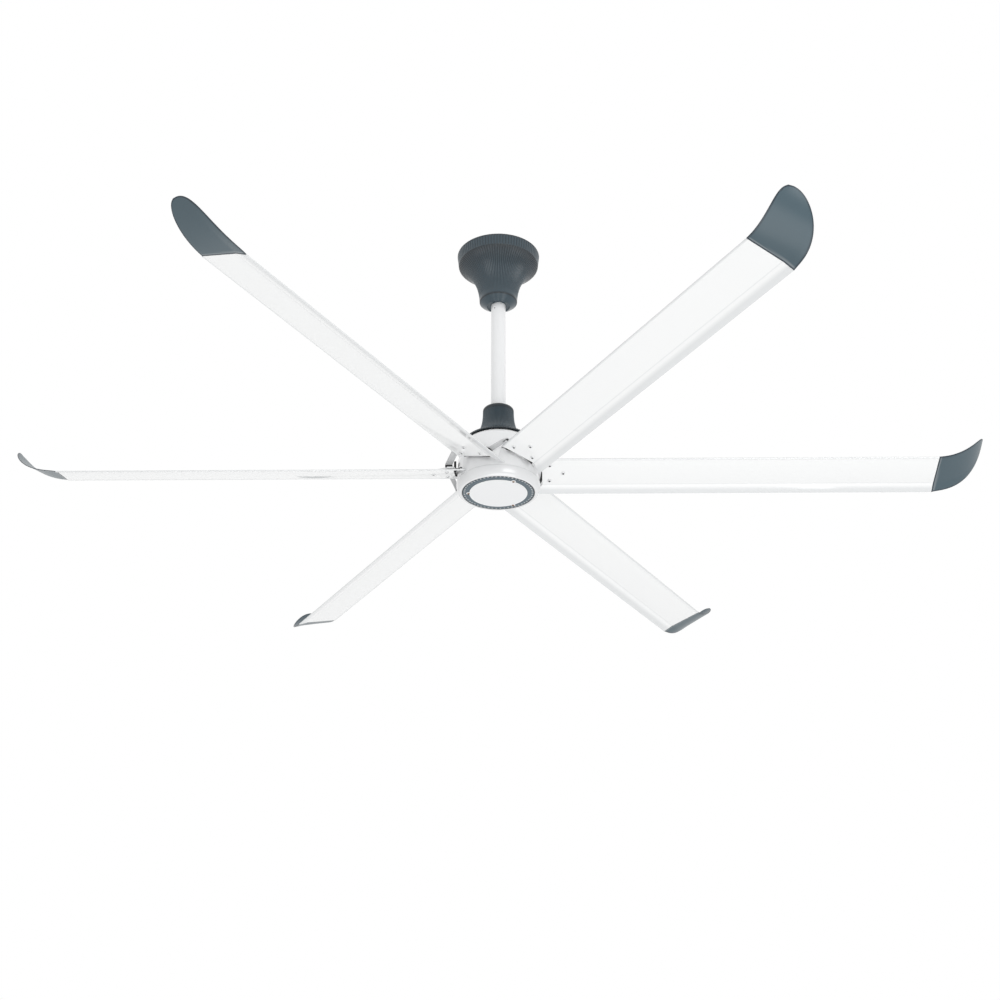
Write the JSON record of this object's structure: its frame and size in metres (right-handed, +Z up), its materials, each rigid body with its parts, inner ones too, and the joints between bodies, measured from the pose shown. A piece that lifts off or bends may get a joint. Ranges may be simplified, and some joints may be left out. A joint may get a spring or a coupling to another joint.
{
  "type": "orbital ceiling fan",
  "caption": "Large ceiling fan on a white rod: pitched flat blades with upswept slate tips round a white domed motor housing, under a flared slate canopy.",
  "frame": {"origin": "on the ceiling plane, on the top face of the hanger bracket, on the fan's axis of rotation", "axes": "+Z up along the fan's axis towards the ceiling, +X along one blade's line"},
  "size_m": [2.4212, 2.141, 0.7174],
  "materials": {
    "blade_white": "smooth satin white paint on a thin aluminium blade",
    "housing_white": "gloss white paint on a cast housing shell",
    "rod_white": "satin white powder coat on steel pipe",
    "bracket_white": "white powder coat on pressed steel",
    "disc_white": "matte white moulded cover",
    "shell_slate": "satin dark slate with fine moulded ribs",
    "ring_slate": "satin slate with small pale perforations",
    "tip_slate": "satin moulded slate with a darker rolled edge",
    "link_grey": "plain grey steel strap",
    "plated_steel": "zinc plated steel",
    "bronze_screw": "dark bronze plated screw head",
    "bush_rubber": "black moulded rubber",
    "lamination": "stacked electrical steel, varnished",
    "copper_wire": "varnished copper winding",
    "cast_aluminium": "machined cast aluminium",
    "magnet": "dark ferrite magnet ring"
  },
  "bodies": {
    "ceiling_bracket": {"hanger_bracket": "plated_steel", "hanger_bolt": "plated_steel", "hanger_nut": "plated_steel", "split_pin": "plated_steel"},
    "hanging_rod": {"hanger_bush": "bush_rubber", "downrod": "rod_white", "motor_shaft": "plated_steel", "shaft_nut": "plated_steel", "coupler_bolt": "plated_steel", "coupler_nut": "plated_steel", "bearing_upper": "plated_steel", "bearing_lower": "plated_steel", "stator_core": "lamination", "winding_upper": "copper_wire", "winding_lower": "copper_wire"},
    "rotor": {"rotor_yoke": "cast_aluminium", "magnet_ring": "magnet", "rotor_end_plate": "cast_aluminium", "housing_upper": "housing_white", "housing_lower": "housing_white", "vent_ring": "ring_slate", "bottom_disc": "disc_white", "disc_screw_1": "bronze_screw", "disc_screw_2": "bronze_screw", "disc_screw_3": "bronze_screw", "blade_1": "blade_white", "winglet_1": "tip_slate", "blade_bracket_1": "bracket_white", "bracket_bolt_1": "plated_steel", "link_bar_1": "link_grey", "blade_2": "blade_white", "winglet_2": "tip_slate", "blade_bracket_2": "bracket_white", "bracket_bolt_2": "plated_steel", "link_bar_2": "link_grey", "blade_3": "blade_white", "winglet_3": "tip_slate", "blade_bracket_3": "bracket_white", "bracket_bolt_3": "plated_steel", "link_bar_3": "link_grey", "blade_4": "blade_white", "winglet_4": "tip_slate", "blade_bracket_4": "bracket_white", "bracket_bolt_4": "plated_steel", "link_bar_4": "link_grey", "blade_5": "blade_white", "winglet_5": "tip_slate", "blade_bracket_5": "bracket_white", "bracket_bolt_5": "plated_steel", "link_bar_5": "link_grey", "blade_6": "blade_white", "winglet_6": "tip_slate", "blade_bracket_6": "bracket_white", "bracket_bolt_6": "plated_steel", "link_bar_6": "link_grey"},
    "canopy": {"canopy": "shell_slate", "canopy_screw": "plated_steel"},
    "lower_bell": {"lower_bell": "shell_slate"}
  },
  "joints": [
    {"name": "rod_swing", "type": "hinge", "parent": "ceiling_bracket", "child": "hanging_rod", "pos_m": [0, 0, -0.04], "axis": [1, 0, 0], "range_deg": [-3, 3]},
    {"name": "rotor_spin", "type": "hinge", "parent": "hanging_rod", "child": "rotor", "pos_m": [0, 0, -0.662], "axis": [0, 0, 1], "continuous": true},
    {"name": "canopy_slide", "type": "slide", "parent": "hanging_rod", "child": "canopy", "axis": [0, 0, -1], "range_m": [0, 0.14]},
    {"name": "bell_slide", "type": "slide", "parent": "hanging_rod", "child": "lower_bell", "axis": [0, 0, 1], "range_m": [0, 0.15]}
  ]
}
